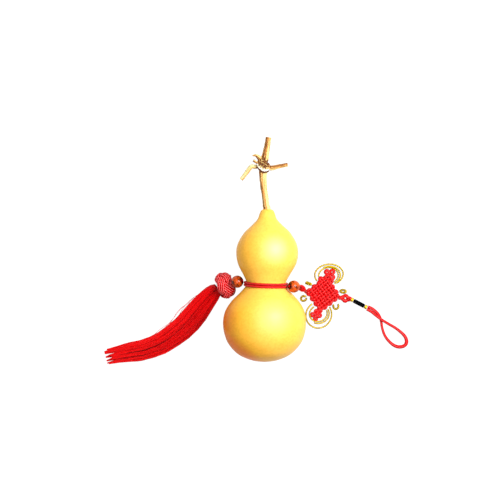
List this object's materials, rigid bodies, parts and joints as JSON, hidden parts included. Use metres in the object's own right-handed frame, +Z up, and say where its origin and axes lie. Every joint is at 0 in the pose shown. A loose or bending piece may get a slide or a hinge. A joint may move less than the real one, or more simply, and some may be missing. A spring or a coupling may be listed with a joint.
{
  "type": "dried bottle gourd ornament",
  "caption": "Dried double-bulbed bottle gourd lying on its side, with its stem, and a knotted red cord ornament with beads, a tassel and a strap loop tied round its waist.",
  "frame": {"origin": "centre of the small flat under the large bulb, on the surface that the gourd lies on", "axes": "+Z up, +Y from the large bulb towards the stem, +X towards the strap loop, away from the tassel"},
  "size_m": [0.202, 0.157, 0.0547],
  "materials": {
    "gourd_skin": "smooth, polished dried rind",
    "dried_stem": "rough, fibrous",
    "bead_wood": "polished",
    "red_cord": "braided",
    "knot_satin": "satin",
    "tassel_thread": "silky thread",
    "gold_thread": "metallic thread",
    "gold_band": "polished",
    "sleeve_rubber": "smooth"
  },
  "bodies": {
    "root": {"gourd": "gourd_skin", "stem": "dried_stem", "waist_cord_1": "red_cord", "waist_cord_2": "red_cord", "bead_left": "bead_wood", "bead_right": "bead_wood", "link_left": "red_cord", "link_right": "red_cord", "ball_knot": "knot_satin", "tassel": "tassel_thread", "link_knot": "red_cord", "endless_knot": "red_cord", "eye_knot": "red_cord", "gold_arc_top_outer": "gold_thread", "gold_arc_top_middle": "gold_thread", "gold_arc_top_inner": "gold_thread", "gold_arc_bottom_outer": "gold_thread", "gold_arc_bottom_middle": "gold_thread", "gold_arc_bottom_inner": "gold_thread", "gold_curl_left_upper": "gold_thread", "gold_curl_left_lower": "gold_thread", "gold_curl_right_upper": "gold_thread", "gold_curl_right_lower": "gold_thread", "sleeve": "sleeve_rubber", "gold_band_near": "gold_band", "gold_band_far": "gold_band", "strap_loop": "red_cord"}
  },
  "joints": []
}
